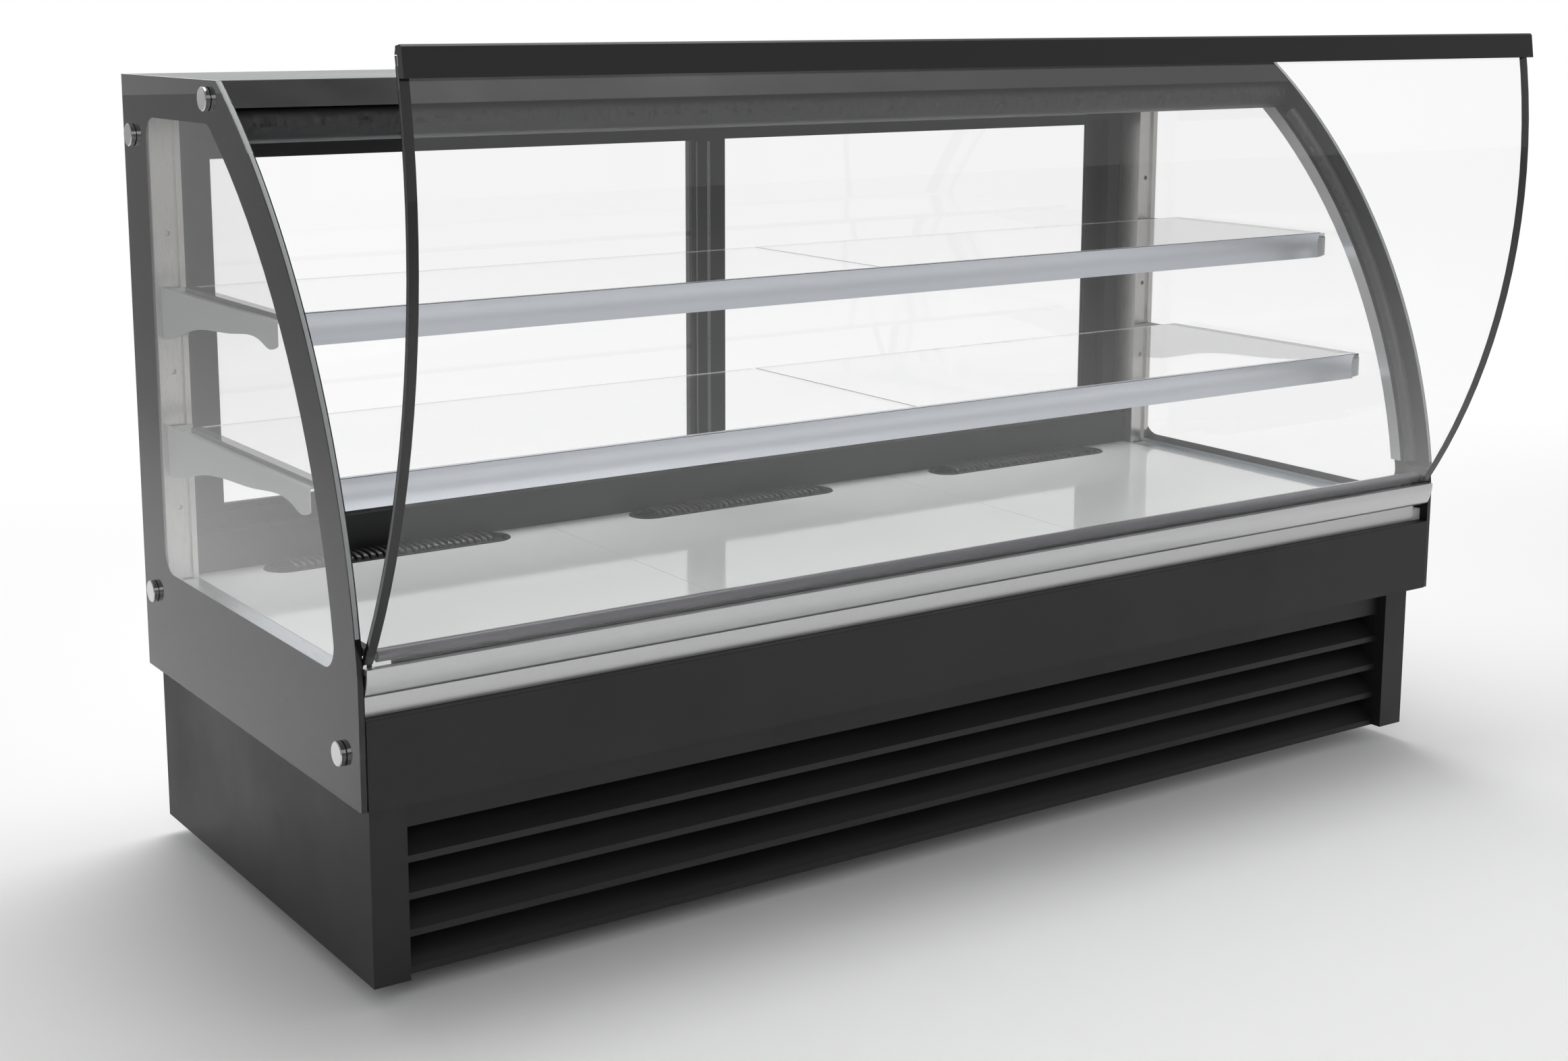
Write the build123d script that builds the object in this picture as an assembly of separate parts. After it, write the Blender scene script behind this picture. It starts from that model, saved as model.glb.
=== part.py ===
from build123d import *
import math
import os

os.makedirs("parts", exist_ok=True)

# Straight refrigerated display case, two metres long, with a curved front glass
# that tilts out. Millimetres, +X along the length, front faces -Y, +Z up.
# Heights are counted from the bottom edge of the base; the feet reach below it.

# Overall
HALF_LEN = 1000.0
SIDE_GLASS_T = 8.0
GLASS_IN = HALF_LEN - SIDE_GLASS_T
ENAMEL_T = 0.4
FIT = 1.0
SEAT = 0.05
ARCH_Z0 = 467.0
BODY_HALF = GLASS_IN - ENAMEL_T - 0.6
BODY_BOTTOM = 248.4
BODY_BACK = 788.5
TOP_Z = 1144.0
FOOT_H = 30.0
PLATE_T = 3.0
SHEET = 1.5

# Curve of the side glass and of the closed front glass
ARC_Y = 1016.0
ARC_Z = 330.0
ARC_R = 1018.0
FRONT_EDGE_Y = 2.0
WINDOW_R = 945.0
WINDOW_Z0 = 412.0
WINDOW_Z1 = 1085.0
WINDOW_BACK = 700.0
WINDOW_FILLET = 34.0

# Front glass as it stands open, and its hinge
OPEN_Y = 870.0
OPEN_Z = 994.0
FRONT_R = 1030.0
FRONT_GLASS_T = 6.0
FRONT_HALF = 991.0
FRONT_GLASS_Z0 = 432.0
FRONT_GLASS_Z1 = 1186.0
BORDER_W = 14.0
HINGE_Y = 7.3
HINGE_Z = 456.2
PIN_R = 3.0
PIN_FIT = 0.05
BOSS_R = 6.0
ARM_X0 = 975.0
ARM_T = 5.0
HINGE_GAP = 1.0

# Base
BASE_HALF = 979.3
BASE_FRONT = 27.0
BASE_BACK = 790.0
POST_W = 52.0
LOUVRE_FRONT = 45.0
LOUVRE_RAIL_Z = 201.0
BLADE_PITCH = 50.7
BLADE_COUNT = 4
BLADE_LIP = 9.5
BLADE_RUN = 34.0
BLADE_RISE = 27.0

# Well, front and deck
PANEL_TOP = 366.8
TRIM_TOP = 394.0
TUB_FRONT = 17.0
TUB_TOP = 386.0
WELL_HALF = 925.0
WELL_FRONT = 60.0
WELL_BACK = 735.0
WELL_FLOOR = 290.0
DECK_Z = 397.0
DECK_T = 2.0
DECK_HALF = 944.0
DECK_FRONT = 30.0
DECK_BACK = 711.0
DECK_SEAM = 352.0
SEAM_GAP = 1.0
VENT_L = 402.0
VENT_W = 58.0
VENT_Y = 677.0
VENT_X = 642.0
VENT_RIB_PITCH = 12.0
VENT_RIB_W = 5.0
UPSTAND_Y = 26.0
UPSTAND_TOP = 452.0
SEAL_R = 8.5
SEAL_Y = 17.5
SEAL_Z = 447.0

# Rear
WALL_TOP = 455.0
FRAME_FRONT = 746.0
OPENING_HALF = 916.0
OPENING_Z0 = 481.0
OPENING_Z1 = 1027.0
DOOR_T = 12.0
DOOR_GAP = 4.0
DOOR_STILE = 64.0
DOOR_OUTER_STILE = 36.0
DOOR_RAIL = 22.0
DOOR_BITE = 12.0
DOOR_GLASS_T = 5.0

# Canopy
CANOPY_UNDER = 1062.0
FASCIA_Z = 1109.0
GASKET_R0 = 971.0
GASKET_R1 = 994.0
STRIP_R0 = 950.0
ARCH_DEEP = 15.0

# Shelves
UPRIGHT_X0 = 945.0
UPRIGHT_X1 = 990.0
UPRIGHT_Y0 = 691.0
UPRIGHT_TOP = 1100.0
HOLE_Z = 1120.0
HOLE_PITCH = 204.3
BRACKET_X = 983.0
BRACKET_T = 2.5
BRACKET_FLANGE = 26.0
SHELF_T = 8.0
SHELF_BACK = 611.0
SHELF_HALF = 975.0
RAIL_HALF = 955.0
RAIL_H = 43.0
UPPER_Y = 240.0
UPPER_Z = 847.5
LOWER_Y = 150.0
LOWER_Z = 643.0
RAIL_LIP = 1.5
RAIL_SLOT = 7.5

# Glass fixings: y and z of the four knobs on each side
KNOB_YZ = [(440.0, 1119.0), (750.0, 1057.0), (746.0, 372.0), (58.0, 312.0)]
KNOB_R = 16.5
KNOB_T = 7.0
KNOB_NECK = 8.0
KNOB_FIT = 0.2

# Machinery
FAN_X = 470.0
FAN_R = 88.0
FAN_HUB_R = 24.0
EVAP_FAN_X = 420.0
EVAP_FAN_R = 42.0


def box(x0, x1, y0, y1, z0, z1):
    return Pos((x0 + x1) / 2, (y0 + y1) / 2, (z0 + z1) / 2) * Box(x1 - x0, y1 - y0, z1 - z0)


def prism(face, x0, x1):
    return extrude(Plane.YZ.offset(x0) * face, x1 - x0)


def poly(points):
    return make_face(Polyline(*points, close=True))


def disc_x(x0, x1, y, z, r):
    return prism(Pos(y, z) * Circle(r), x0, x1)


def rod_y(x, z, r, y0, y1):
    return extrude(Plane.XZ.offset(-y0) * (Pos(x, z) * Circle(r)), -(y1 - y0))


def rod_z(x, y, r, z0, z1):
    return extrude(Pos(x, y, z0) * Circle(r), z1 - z0)


def arc_y(z, r, cy=ARC_Y, cz=ARC_Z):
    return cy - math.sqrt(r * r - (z - cz) ** 2)


def arc(z0, z1, r, cy=ARC_Y, cz=ARC_Z):
    zm = (z0 + z1) / 2
    return ThreePointArc((arc_y(z0, r, cy, cz), z0), (arc_y(zm, r, cy, cz), zm), (arc_y(z1, r, cy, cz), z1))


def band(r0, r1, z0, z1, cy=ARC_Y, cz=ARC_Z):
    outer = arc(z0, z1, r1, cy, cz)
    inner = arc(z0, z1, r0, cy, cz)
    low = Line(inner @ 0, outer @ 0)
    high = Line(inner @ 1, outer @ 1)
    return make_face([outer, inner, low, high])


def side_outline(inset=0.0):
    r = ARC_R - inset
    y_low = FRONT_EDGE_Y + inset
    z_low = ARC_Z + math.sqrt(r * r - (ARC_Y - y_low) ** 2)
    top = TOP_Z - inset
    bottom = BODY_BOTTOM + inset
    back = BODY_BACK - inset
    curve = arc(z_low, top, r)
    rest = Polyline(curve @ 1, (back, top), (back, bottom), (y_low, bottom), curve @ 0)
    return make_face([curve, rest])


def window_face():
    curve = arc(WINDOW_Z0, WINDOW_Z1, WINDOW_R)
    rest = Polyline(curve @ 1, (WINDOW_BACK, WINDOW_Z1), (WINDOW_BACK, WINDOW_Z0), curve @ 0)
    face = make_face([curve, rest])
    return fillet(face.vertices(), WINDOW_FILLET)


def both(shape):
    return {"left": shape, "right": mirror(shape, about=Plane.YZ)}


def two_of(shape):
    return Compound(children=shape.solids() + mirror(shape, about=Plane.YZ).solids())


def side_glass():
    glass = prism(side_outline(), -HALF_LEN, -GLASS_IN)
    for y, z in KNOB_YZ:
        glass -= disc_x(-HALF_LEN - 1, -GLASS_IN + 1, y, z, KNOB_NECK + KNOB_FIT)
    return glass


def side_enamel():
    skin = prism(side_outline() - window_face(), -GLASS_IN + SEAT, -GLASS_IN + ENAMEL_T)
    for y, z in KNOB_YZ:
        skin -= disc_x(-HALF_LEN, -GLASS_IN + 1, y, z, KNOB_NECK + KNOB_FIT)
    return skin


def glass_fixings():
    knobs = []
    for y, z in KNOB_YZ:
        head = disc_x(-HALF_LEN - FIT - KNOB_T, -HALF_LEN - FIT, y, z, KNOB_R)
        head = chamfer(head.edges().filter_by(GeomType.CIRCLE).group_by(Axis.X)[0], 1.2)
        washer = disc_x(-HALF_LEN - FIT, -HALF_LEN - SEAT, y, z, KNOB_R - 2)
        neck = disc_x(-HALF_LEN - FIT, -BODY_HALF - SEAT, y, z, KNOB_NECK)
        knobs.append(head + washer + neck)
    return Compound(children=knobs)


def arch_frame():
    z_top = CANOPY_UNDER
    return prism(band(STRIP_R0, GASKET_R0, ARCH_Z0, z_top), -BODY_HALF, -BODY_HALF + ARCH_DEEP)


def arch_gasket():
    x0 = -BODY_HALF
    foot = prism(band(GASKET_R0, GASKET_R1, ARCH_Z0, CANOPY_UNDER), x0, x0 + 9)
    return foot + prism(band(GASKET_R0 + 4, GASKET_R1 - 4, ARCH_Z0, CANOPY_UNDER), x0 + 9, x0 + 13)


def base_side():
    skin = box(-BASE_HALF, -BASE_HALF + SHEET, BASE_FRONT, BASE_BACK, 0, BODY_BOTTOM)
    front = box(-BASE_HALF, -BASE_HALF + POST_W, BASE_FRONT, BASE_FRONT + SHEET, 0, BODY_BOTTOM)
    edge = -BASE_HALF + POST_W
    inner = box(edge - SHEET, edge, BASE_FRONT, BASE_FRONT + 40, 0, BODY_BOTTOM - PLATE_T - SEAT)
    back = box(-BASE_HALF, -BASE_HALF + POST_W, BASE_BACK - SHEET, BASE_BACK, 0, BODY_BOTTOM)
    return skin + front + inner + back


def base_frame():
    h = BASE_HALF - SHEET - SEAT
    y0 = BASE_FRONT + SHEET + SEAT
    y1 = BASE_BACK - SHEET - SEAT
    post = POST_W - 2 * SHEET - 2 * SEAT
    deck_z = BODY_BOTTOM - PLATE_T
    solids = [box(-h, h, y0, y1, deck_z, BODY_BOTTOM)]
    for s in (-1, 1):
        a = min(s * h, s * (h - post))
        b = max(s * h, s * (h - post))
        solids.append(box(a, b, y0, y0 + post, 0, deck_z))
        solids.append(box(a, b, y1 - post, y1, 0, deck_z))
        mid = (a + b) / 2
        solids.append(box(mid - 10, mid + 10, y0 + post, y1 - post, 0, 20))
    half = h - post
    cross = LOUVRE_FRONT + 80
    solids.append(box(-half, half, y1 - 30, y1, 8, 30))
    solids.append(box(-half, half, cross, cross + 20, 0, 20))
    solids.append(box(-half, half, cross + 20, y1 - 30, 8, 10))
    for x in (-320.0, 320.0):
        solids.append(box(x - 12, x + 12, cross + 20, y1 - 30, 0, 8))
    return Compound(children=solids)


def louvre_frame():
    half = BASE_HALF - POST_W - 0.3
    top = BODY_BOTTOM - 13
    back = LOUVRE_FRONT + BLADE_RUN + 8
    rail = box(-half, half, LOUVRE_FRONT, LOUVRE_FRONT + SHEET, LOUVRE_RAIL_Z, top)
    rail += box(-half, half, LOUVRE_FRONT, back, top - SHEET, top)
    rail += box(-half, half, LOUVRE_FRONT, LOUVRE_FRONT + 12, LOUVRE_RAIL_Z, LOUVRE_RAIL_Z + SHEET)
    solids = [rail]
    for s in (-1, 1):
        x0 = -half if s < 0 else half - SHEET
        solids.append(box(x0, x0 + SHEET, LOUVRE_FRONT, back, 0, LOUVRE_RAIL_Z))
        solids.append(box(x0, x0 + SHEET, LOUVRE_FRONT + 12, back, LOUVRE_RAIL_Z, top - SHEET))
    for x in (-half / 3, half / 3):
        solids.append(box(x - 1, x + 1, back - 6, back, 0, top - SHEET))
    return Compound(children=solids)


def louvre_blades():
    half = BASE_HALF - POST_W - 0.3 - SHEET
    blades = []
    for i in range(BLADE_COUNT):
        z = i * BLADE_PITCH
        y = LOUVRE_FRONT
        pts = [(y, z), (y, z + BLADE_LIP), (y + BLADE_RUN, z + BLADE_LIP + BLADE_RISE),
               (y + BLADE_RUN, z + BLADE_LIP + BLADE_RISE - 2), (y + SHEET, z + BLADE_LIP - 1.2), (y + SHEET, z)]
        blades.append(prism(poly(pts), -half, half))
    return Compound(children=blades)


def base_rear_grille():
    half = BASE_HALF - POST_W - 0.3
    panel = box(-half, half, BASE_BACK - SHEET, BASE_BACK, 0, BODY_BOTTOM)
    for column in (-1, 1):
        for row in range(6):
            z = 60 + row * 24
            x = column * FAN_X
            panel -= box(x - 210, x + 210, BASE_BACK - 5, BASE_BACK + 5, z, z + 10)
    panel += box(-half, half, BASE_BACK - 14, BASE_BACK, 0, SHEET)
    return panel


def levelling_feet():
    feet = []
    for x in (-860.0, 0.0, 860.0):
        for y in (LOUVRE_FRONT + 90, BASE_BACK - 100):
            pad = rod_z(x, y, 24, -FOOT_H, -FOOT_H + 8)
            pad = chamfer(pad.edges().group_by(Axis.Z)[-1], 3)
            stem = rod_z(x, y, 6, -FOOT_H + 8, 0)
            nut = extrude(Pos(x, y, -12) * RegularPolygon(12, 6), 8)
            feet.append(pad + stem + nut)
    return Compound(children=feet)


def compressor():
    x = -560.0
    y = 430.0
    shell = rod_z(x, y, 82, 34, 190)
    shell = fillet(shell.edges().filter_by(GeomType.CIRCLE), 24)
    plate = box(x - 105, x + 105, y - 70, y + 70, 24, 27)
    body = shell + rod_z(x, y, 50, 27, 40)
    body += plate
    for sx in (-1, 1):
        for sy in (-1, 1):
            body += rod_z(x + sx * 88, y + sy * 55, 12, 10, 24)
    body += box(x + 70, x + 104, y - 32, y + 32, 80, 140)
    return body


def condenser_coil():
    coil = box(FAN_X - 190, FAN_X + 190, 190, 250, 22, 216)
    for row in range(4):
        z = 48 + row * 44
        coil += disc_x(FAN_X - 200, FAN_X + 200, 220, z, 5)
    coil += box(FAN_X - 196, FAN_X - 190, 186, 254, 10, 220)
    coil += box(FAN_X + 190, FAN_X + 196, 186, 254, 10, 220)
    return coil


def fan_shroud():
    z = 119.0
    plate = box(FAN_X - 196, FAN_X + 196, 255, 257, 10, 220)
    ring = rod_y(FAN_X, z, FAN_R + 10, 257, 300)
    shroud = plate + ring - rod_y(FAN_X, z, FAN_R + 6, 250, 310)
    motor = rod_y(FAN_X, z, 30, 312, 360)
    for a in range(3):
        t = math.radians(90 + a * 120)
        arm = Pos(FAN_X, 305, z) * Rot(0, a * 120, 0) * Pos(0, 0, (FAN_R + 8) / 2) * Box(8, 6, FAN_R + 8)
        shroud += arm
    shroud += rod_y(FAN_X, z, 30, 302, 360)
    shroud += rod_y(FAN_X, z, 5, 292, 304)
    return shroud


def rotor(x, z, y0, y1, r, hub_r, shaft_r, count):
    hub = rod_y(x, z, hub_r, y0, y1)
    wheel = hub
    mid = (y0 + y1) / 2
    reach = r - hub_r + 3
    for i in range(count):
        blade = Box(hub_r * 1.25, 1.6, reach)
        place = Pos(x, mid, z) * Rot(0, i * 360 / count, 0) * Pos(0, 0, hub_r - 3 + reach / 2) * Rot(0, 0, 28)
        wheel += place * blade
    return wheel - rod_y(x, z, shaft_r, y1 - 12, y1 + 1)


def drain_pan():
    x0 = -250.0
    x1 = 150.0
    pan = box(x0, x1, 300, 620, 20, 60) - box(x0 + 2, x1 - 2, 302, 618, 22, 61)
    pan += box(x0 + 20, x1 - 20, 380, 540, 10, 20)
    return pan


def control_plate():
    x = -20.0
    plate = box(x - 70, x + 70, BASE_BACK, BASE_BACK + 2, 150, 215)
    bezel = box(x - 42, x + 42, BASE_BACK + 2, BASE_BACK + 4, 166, 200)
    screws = rod_y(x - 60, 183, 3, BASE_BACK + 2, BASE_BACK + 3.5)
    screws += rod_y(x + 60, 183, 3, BASE_BACK + 2, BASE_BACK + 3.5)
    inlet = box(x + 110, x + 146, BASE_BACK, BASE_BACK + 3, 40, 68)
    inlet -= box(x + 116, x + 140, BASE_BACK - 1, BASE_BACK + 4, 46, 62)
    inlet += box(x + 116, x + 140, BASE_BACK, BASE_BACK + 1, 46, 62)
    for i in (-1, 0, 1):
        inlet += box(x + 127 + i * 7, x + 129 + i * 7, BASE_BACK, BASE_BACK + 2.5, 50, 58)
    return Compound(children=[plate + bezel + screws, inlet])


def insulated_tub():
    tub = box(-BODY_HALF, BODY_HALF, TUB_FRONT, BODY_BACK - 2, BODY_BOTTOM, TUB_TOP)
    tub -= box(-WELL_HALF, WELL_HALF, WELL_FRONT, WELL_BACK, WELL_FLOOR, TUB_TOP + 1)
    rear = box(-BODY_HALF, BODY_HALF, FRAME_FRONT, BODY_BACK - 2, TUB_TOP, WALL_TOP)
    return tub + rear


def front_panel():
    panel = box(-GLASS_IN + 1, GLASS_IN - 1, 0, SHEET, BODY_BOTTOM, PANEL_TOP)
    panel += box(-GLASS_IN + 1, GLASS_IN - 1, 0, TUB_FRONT, PANEL_TOP - SHEET, PANEL_TOP)
    panel += box(-GLASS_IN + 1, GLASS_IN - 1, 0, TUB_FRONT, BODY_BOTTOM, BODY_BOTTOM + SHEET)
    edge = panel.edges().filter_by(Axis.X).sort_by_distance((0, 0, PANEL_TOP))[0]
    return fillet(edge, 1.2)


def lower_trim():
    x1 = BODY_HALF - 21
    strip = box(-BODY_HALF, x1, TUB_FRONT - 2, TUB_FRONT, PANEL_TOP + 0.5, TRIM_TOP - 2)
    strip += box(-BODY_HALF, x1, TUB_FRONT - 2, TUB_FRONT + 2, TRIM_TOP - 2, TRIM_TOP)
    return strip - box(-HALF_LEN, HALF_LEN, TUB_FRONT, TUB_FRONT + 9, TUB_TOP - 20, TUB_TOP)


def front_upstand():
    post = box(-DECK_HALF, DECK_HALF, UPSTAND_Y, UPSTAND_Y + SHEET, TUB_TOP + SEAT, UPSTAND_TOP)
    post += box(-DECK_HALF, DECK_HALF, UPSTAND_Y, UPSTAND_Y + 6, UPSTAND_TOP - SHEET, UPSTAND_TOP)
    return post


def hinge_seal():
    half = ARM_X0 - 6
    tube = disc_x(-half, half, SEAL_Y, SEAL_Z, SEAL_R)
    return tube - disc_x(-half - 1, half + 1, SEAL_Y, SEAL_Z, SEAL_R - 2.5)


def hinge_blocks():
    x0 = ARM_X0 + ARM_T + HINGE_GAP
    blocks = []
    for s in (-1, 1):
        a = min(s * x0, s * BODY_HALF)
        b = max(s * x0, s * BODY_HALF)
        block = disc_x(a, b, HINGE_Y, HINGE_Z, BOSS_R)
        block += box(a, b, HINGE_Y, UPSTAND_Y + 22, HINGE_Z - BOSS_R, HINGE_Z + BOSS_R)
        block += box(a, b, UPSTAND_Y + 8, UPSTAND_Y + 22, TUB_TOP + SEAT, HINGE_Z + BOSS_R)
        bore = disc_x(a - 1, b + 1, HINGE_Y, HINGE_Z, PIN_R + PIN_FIT)
        blocks.append(block - bore)
    return Compound(children=blocks)


def vent_slot(x, grow=0.0):
    return Pos(x, VENT_Y) * SlotOverall(VENT_L + 2 * grow, VENT_W + 2 * grow)


def deck_panel(x0, x1, vent_x):
    top = DECK_Z
    sheet = box(x0, x1, DECK_FRONT, DECK_BACK, top - DECK_T, top)
    low = TUB_TOP + SEAT
    sheet += box(x0, x1, DECK_FRONT, DECK_FRONT + DECK_T, low, top)
    left = max(x0, -WELL_HALF + FIT)
    right = min(x1, WELL_HALF - FIT)
    sheet += box(left, right, DECK_BACK - DECK_T, DECK_BACK, WELL_FLOOR + 60, top)
    for x in (x0, x1 - DECK_T):
        sheet += box(x, x + DECK_T, DECK_FRONT + 40, DECK_BACK - 8, low, top)
    return sheet - extrude(Pos(0, 0, top - 6) * vent_slot(vent_x), 12)


def deck_vents():
    vents = []
    for x in (-VENT_X, 0.0, VENT_X):
        ring = extrude(Pos(0, 0, DECK_Z - 6) * (vent_slot(x, -0.4) - vent_slot(x, -5)), 8)
        flange = extrude(Pos(0, 0, DECK_Z) * (vent_slot(x, 4) - vent_slot(x, -5)), 2)
        vent = ring + flange
        count = int((VENT_L - VENT_W) / VENT_RIB_PITCH) + 1
        start = x - (count - 1) * VENT_RIB_PITCH / 2
        half = VENT_W / 2 - 3
        for i in range(count):
            c = start + i * VENT_RIB_PITCH
            hoop = [(-half, -4.0), (-half, 1.5), (-half + 5, 5.5), (half - 5, 5.5), (half, 1.5), (half, -4.0)]
            pts = [(VENT_Y + y, DECK_Z + z) for y, z in hoop]
            vent += prism(poly(pts), c - VENT_RIB_W / 2, c + VENT_RIB_W / 2)
        vents.append(vent)
    return Compound(children=vents)


def deck_side_strip():
    x1 = -DECK_HALF - 1
    x0 = -BODY_HALF + 12
    y1 = UPRIGHT_Y0 - 1
    strip = box(x0, x1, UPSTAND_Y + 24, y1, DECK_Z - DECK_T, DECK_Z)
    low = TUB_TOP + SEAT
    strip += box(x0, x0 + DECK_T, UPSTAND_Y + 24, y1, low, DECK_Z + 6)
    strip += box(x1 - DECK_T, x1, UPSTAND_Y + 24, y1, low, DECK_Z)
    return strip


def rear_wall():
    half = UPRIGHT_X0 - 1
    wall = box(-WELL_HALF + FIT, WELL_HALF - FIT, DECK_BACK + 1, DECK_BACK + 1 + SHEET, TUB_TOP, WALL_TOP)
    wall += box(-half, half, DECK_BACK + 1, DECK_BACK + 1 + SHEET, DECK_Z, WALL_TOP)
    return wall + box(-half, half, DECK_BACK + 1, FRAME_FRONT, WALL_TOP, WALL_TOP + SHEET)


def evaporator():
    coil = box(-880, 880, 520, 610, WELL_FLOOR + 6, WELL_FLOOR + 76)
    coil += box(-884, -880, 516, 614, WELL_FLOOR, WELL_FLOOR + 80)
    coil += box(880, 884, 516, 614, WELL_FLOOR, WELL_FLOOR + 80)
    for z in (WELL_FLOOR + 22, WELL_FLOOR + 58):
        coil += disc_x(-895, 895, 545, z, 5)
        coil += disc_x(-895, 895, 585, z, 5)
    return coil


def evaporator_fan_plate():
    z = WELL_FLOOR + 48
    plate = box(-900, 900, 460, 462, WELL_FLOOR, WELL_FLOOR + 92)
    for x in (-EVAP_FAN_X, EVAP_FAN_X):
        plate -= rod_y(x, z, EVAP_FAN_R + 3, 450, 470)
        plate += box(x - 60, x + 60, 486, 490, z - 5, z + 5)
        plate += box(x - 60, x - 54, 461, 490, z - 5, z + 5)
        plate += box(x + 54, x + 60, 461, 490, z - 5, z + 5)
        plate += rod_y(x, z, 16, 482, 500)
        plate += rod_y(x, z, 3, 468, 484)
    return plate


def top_panel():
    half = BODY_HALF
    y0 = arc_y(TOP_Z, ARC_R) + 1
    roof = box(-half, half, y0, BODY_BACK - 1, TOP_Z - SHEET, TOP_Z)
    skirt = box(-half, half, BODY_BACK - 1 - SHEET, BODY_BACK - 1, OPENING_Z1 + 30, TOP_Z - SHEET)
    return Compound(children=[roof, skirt])


def canopy_beam():
    half = BODY_HALF
    y0 = arc_y(FASCIA_Z, ARC_R) + 1
    y1 = arc_y(TOP_Z - SHEET, ARC_R) + 1
    y2 = arc_y(TOP_Z, GASKET_R0)
    face = poly([(y0, FASCIA_Z), (y1, TOP_Z - SHEET), (y2 + 20, TOP_Z - SHEET), (y2 + 20, CANOPY_UNDER),
                 (y0 + 34, CANOPY_UNDER), (y0 + 34, FASCIA_Z)])
    core = poly([(y0 + 22, FASCIA_Z + 3), (y1 + 14, TOP_Z - 6), (y2 + 17, TOP_Z - 6), (y2 + 17, CANOPY_UNDER + 3),
                 (y0 + 37, CANOPY_UNDER + 3), (y0 + 37, FASCIA_Z + 3)])
    return prism(face, -half, half) - prism(core, -half + 3, half - 3)


def top_gasket():
    half = BODY_HALF - 0.5
    y = arc_y(FASCIA_Z, ARC_R) + 35
    face = poly([(y, FASCIA_Z - 1), (y - 26, FASCIA_Z - 1), (y - 30, FASCIA_Z - 7), (y - 22, CANOPY_UNDER + 4),
                 (y - 18, CANOPY_UNDER + 1), (y, CANOPY_UNDER + 1)])
    return prism(face, -half, half)


def lamp_housing():
    y0 = arc_y(TOP_Z, GASKET_R0) + 20
    z0 = CANOPY_UNDER + 16
    face = poly([(y0, z0), (y0, TOP_Z - SHEET), (y0 + 40, TOP_Z - SHEET), (y0 + 40, TOP_Z - 6), (y0 + 5, z0 + 6),
                 (y0 + 5, z0)])
    return prism(face, -930, 930)


def lamp_diffuser():
    y0 = arc_y(TOP_Z, GASKET_R0) + 20
    z0 = CANOPY_UNDER + 16
    slope = (TOP_Z - 6 - z0 - 6) / 35
    za = z0 + 6 + slope - 0.15
    zb = za + 28 * slope
    face = poly([(y0 + 6, za), (y0 + 34, zb), (y0 + 39, zb - 6), (y0 + 13, za - 6)])
    return prism(face, -925, 925)


def rear_frame():
    half = BODY_HALF
    y0 = FRAME_FRONT
    y1 = BODY_BACK - 2
    members = []
    for s in (-1, 1):
        a = min(s * OPENING_HALF, s * half)
        b = max(s * OPENING_HALF, s * half)
        members.append(box(a, b, y0, y1 - SHEET, WALL_TOP + SHEET, TOP_Z - SHEET))
    inner = OPENING_HALF
    for z0, z1, low in ((WALL_TOP + SHEET, OPENING_Z0, True), (OPENING_Z1, TOP_Z - SHEET, False)):
        bar = box(-inner, inner, y0, y1 - SHEET, z0, z1)
        for k in (0, 1):
            ya = door_y(k) - 1
            yb = door_y(k) + DOOR_T + 1
            if low:
                bar -= box(-inner, inner, ya, yb, z1 - DOOR_BITE - 1, z1 + 1)
            else:
                bar -= box(-inner, inner, ya, yb, z0 - 1, z0 + DOOR_BITE + 2)
        members.append(bar)
    return members


def door_y(k):
    return FRAME_FRONT + 5 + k * (DOOR_T + DOOR_GAP)


def door(k):
    x0 = -OPENING_HALF + 1
    x1 = DOOR_STILE / 2
    y0 = door_y(k)
    y1 = y0 + DOOR_T
    z0 = OPENING_Z0 - DOOR_BITE
    z1 = OPENING_Z1 + DOOR_BITE
    stile_out = box(x0, x0 + DOOR_OUTER_STILE, y0, y1, z0, z1)
    grip = box(x0 + 12, x0 + 24, y1 - 7, y1 + 1, 700, 820)
    stile_out -= grip
    stile_mid = box(x1 - DOOR_STILE, x1, y0, y1, z0, z1)
    low = box(x0 + DOOR_OUTER_STILE, x1 - DOOR_STILE, y0, y1, z0, z0 + DOOR_RAIL)
    high = box(x0 + DOOR_OUTER_STILE, x1 - DOOR_STILE, y0, y1, z1 - DOOR_RAIL, z1)
    mid = (y0 + y1) / 2
    pane = box(x0 + DOOR_OUTER_STILE, x1 - DOOR_STILE, mid - DOOR_GLASS_T / 2, mid + DOOR_GLASS_T / 2,
               z0 + DOOR_RAIL, z1 - DOOR_RAIL)
    frame = Compound(children=[stile_out, stile_mid, low, high])
    if k == 1:
        return mirror(frame, about=Plane.YZ), mirror(pane, about=Plane.YZ)
    return frame, pane


def upright():
    x0 = -UPRIGHT_X1
    x1 = -UPRIGHT_X0
    y0 = UPRIGHT_Y0
    post = box(x0, x1, y0, FRAME_FRONT - 1, WALL_TOP + 4, UPRIGHT_TOP)
    post += box(x0, x1, y0, DECK_BACK, DECK_Z, WALL_TOP + 4)
    channel = box(x0 + 10, x1 - 8, y0 - 1, y0 + 5, DECK_Z - 1, UPRIGHT_TOP + 1)
    post -= channel
    z = HOLE_Z - HOLE_PITCH
    while z > DECK_Z + 80:
        post -= rod_y((x0 + x1) / 2, z, 4, y0 - 1, y0 + 14)
        z -= HOLE_PITCH
    return post


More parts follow.
